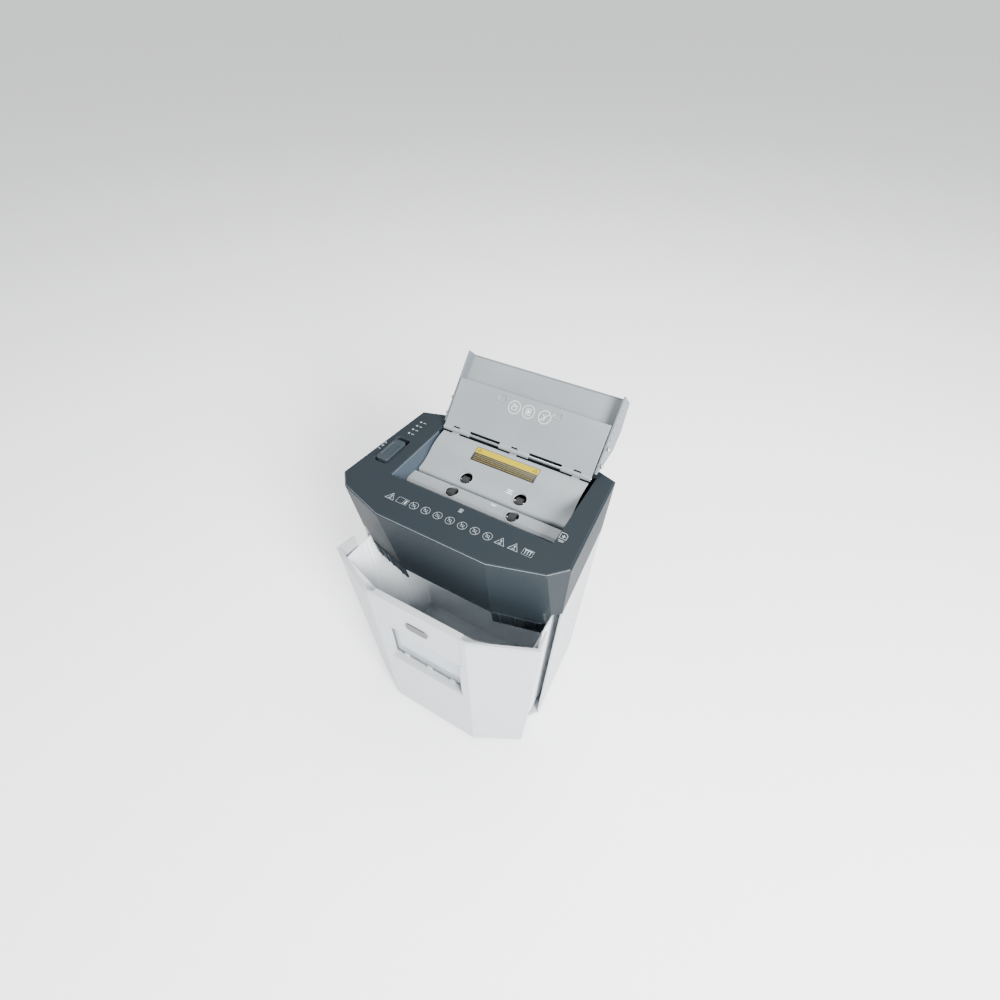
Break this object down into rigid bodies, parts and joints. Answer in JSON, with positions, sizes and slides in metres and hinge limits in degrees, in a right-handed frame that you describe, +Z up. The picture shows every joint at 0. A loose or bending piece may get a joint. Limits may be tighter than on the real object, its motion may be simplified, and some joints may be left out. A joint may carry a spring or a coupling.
{
  "type": "paper shredder",
  "caption": "Cross-cut paper shredder: lidded sheet feeder over a slot with feed rollers, slanted dark head, and a pull-out waste bin with a window.",
  "frame": {"origin": "on the floor, under the middle of the whole footprint at rest", "axes": "+Z up, -Y towards the front with the bin, +X towards the right-hand side seen from the front"},
  "size_m": [0.3218, 0.3288, 0.4838],
  "materials": {
    "case_plastic": "fine matt grain, very pale grey",
    "head_plastic": "fine matt grain, dark slate grey",
    "chute_plastic": "satin mid grey",
    "lid_plastic": "fine matt grain, blue grey",
    "tub_plastic": "translucent, slightly blue",
    "window_plastic": "clear",
    "black_plastic": "matt black",
    "knob_plastic": "satin light grey",
    "lens_plastic": "tinted",
    "shaft_steel": "ground",
    "cutter_steel": "oiled",
    "sheet_steel": "zinc plated",
    "gear_plastic": "natural nylon",
    "roller_rubber": "matt",
    "foot_rubber": "matt",
    "motor_paint": "satin black",
    "board_green": "varnished",
    "badge_metal": "satin"
  },
  "bodies": {
    "cabinet": {"back_panel": "case_plastic", "back_screws": "sheet_steel", "base_tray": "case_plastic", "bin_rails": "case_plastic", "board_parts": "black_plastic", "circuit_board": "board_green", "cord_gland": "black_plastic", "feed_ledge": "chute_plastic", "feet": "foot_rubber", "frame_plate_left": "sheet_steel", "frame_plate_right": "sheet_steel", "gearbox_plate": "sheet_steel", "guide_plate": "chute_plastic", "head_shell": "head_plastic", "head_underpan": "black_plastic", "hinge_rods": "shaft_steel", "indicator_lenses": "lens_plastic", "interlock_switch": "black_plastic", "motor_can": "motor_paint", "side_panel_left": "case_plastic", "side_panel_right": "case_plastic", "stripper_front": "black_plastic", "stripper_rear": "black_plastic", "switch_bezel": "black_plastic", "thermal_cutout": "black_plastic", "throat_frame": "black_plastic", "tie_rods": "shaft_steel"},
    "bin": {"bin_front": "case_plastic", "bin_inset_panel": "case_plastic", "badge": "badge_metal", "window_frame": "chute_plastic", "bin_window": "window_plastic", "window_clips": "case_plastic", "bin_tub": "tub_plastic"},
    "lid": {"lid_front_panel": "chute_plastic", "lid_paper_rest": "chute_plastic", "lid_back_cover": "lid_plastic", "lid_pins": "shaft_steel"},
    "knob": {"switch_knob": "knob_plastic"},
    "plunger": {"interlock_plunger": "gear_plastic"},
    "rear_cutter_unit": {"rear_cutter": "cutter_steel", "rear_sync_gear": "cutter_steel", "main_gear": "gear_plastic", "rear_feed_drive_gear": "gear_plastic"},
    "front_cutter_unit": {"front_cutter": "cutter_steel", "front_sync_gear": "cutter_steel", "front_feed_drive_gear": "gear_plastic"},
    "intermediate": {"intermediate_shaft": "shaft_steel", "reduction_gear": "gear_plastic"},
    "rotor": {"motor_shaft": "shaft_steel"},
    "rear_feed": {"rear_feed_shaft": "shaft_steel", "rear_feed_rollers": "roller_rubber", "rear_roller_gear": "gear_plastic"},
    "front_feed": {"front_feed_shaft": "shaft_steel", "front_feed_rollers": "roller_rubber", "front_roller_gear": "gear_plastic"},
    "rear_idler": {"rear_idler_gear": "gear_plastic"},
    "front_idler": {"front_idler_gear": "gear_plastic"}
  },
  "joints": [
    {"name": "bin_slide", "type": "slide", "parent": "cabinet", "child": "bin", "axis": [0, -1, 0], "range_m": [-0.046, 0.084]},
    {"name": "lid_hinge", "type": "hinge", "parent": "cabinet", "child": "lid", "pos_m": [0.011, 0.06405, 0.404], "axis": [1, 0, 0], "range_deg": [0, 133]},
    {"name": "switch_slide", "type": "slide", "parent": "cabinet", "child": "knob", "axis": [0, 1, 0], "range_m": [-0.0033, 0.0078]},
    {"name": "interlock_press", "type": "slide", "parent": "cabinet", "child": "plunger", "axis": [0, 1, 0], "range_m": [0, 0.002], "stiffness_N_per_m": 200},
    {"name": "rear_cutter_spin", "type": "hinge", "parent": "cabinet", "child": "rear_cutter_unit", "pos_m": [0.011, 0.00955, 0.339], "axis": [1, 0, 0], "continuous": true},
    {"name": "front_cutter_spin", "type": "hinge", "parent": "cabinet", "child": "front_cutter_unit", "pos_m": [0.011, -0.02345, 0.339], "axis": [1, 0, 0], "continuous": true},
    {"name": "intermediate_spin", "type": "hinge", "parent": "cabinet", "child": "intermediate", "pos_m": [0.011, 0.03379, 0.35934], "axis": [1, 0, 0], "continuous": true},
    {"name": "motor_spin", "type": "hinge", "parent": "cabinet", "child": "rotor", "pos_m": [0.011, 0.05913, 0.343], "axis": [1, 0, 0], "continuous": true},
    {"name": "rear_idler_spin", "type": "hinge", "parent": "cabinet", "child": "rear_idler", "pos_m": [0.011, 0.0088, 0.35713], "axis": [1, 0, 0], "continuous": true},
    {"name": "rear_feed_spin", "type": "hinge", "parent": "cabinet", "child": "rear_feed", "pos_m": [0.011, 0.00805, 0.37527], "axis": [1, 0, 0], "continuous": true},
    {"name": "front_idler_spin", "type": "hinge", "parent": "cabinet", "child": "front_idler", "pos_m": [0.011, -0.02152, 0.35554], "axis": [1, 0, 0], "continuous": true},
    {"name": "front_feed_spin", "type": "hinge", "parent": "cabinet", "child": "front_feed", "pos_m": [0.011, -0.0196, 0.37208], "axis": [1, 0, 0], "continuous": true}
  ],
  "couplings": [
    {"joint": "front_cutter_spin", "follows": "rear_cutter_spin", "ratio": -1},
    {"joint": "intermediate_spin", "follows": "rear_cutter_spin", "ratio": -2.5},
    {"joint": "motor_spin", "follows": "rear_cutter_spin", "ratio": 12.5},
    {"joint": "rear_idler_spin", "follows": "rear_cutter_spin", "ratio": -0.63636},
    {"joint": "rear_feed_spin", "follows": "rear_cutter_spin", "ratio": 1},
    {"joint": "front_idler_spin", "follows": "rear_cutter_spin", "ratio": 0.73684},
    {"joint": "front_feed_spin", "follows": "rear_cutter_spin", "ratio": -1}
  ]
}
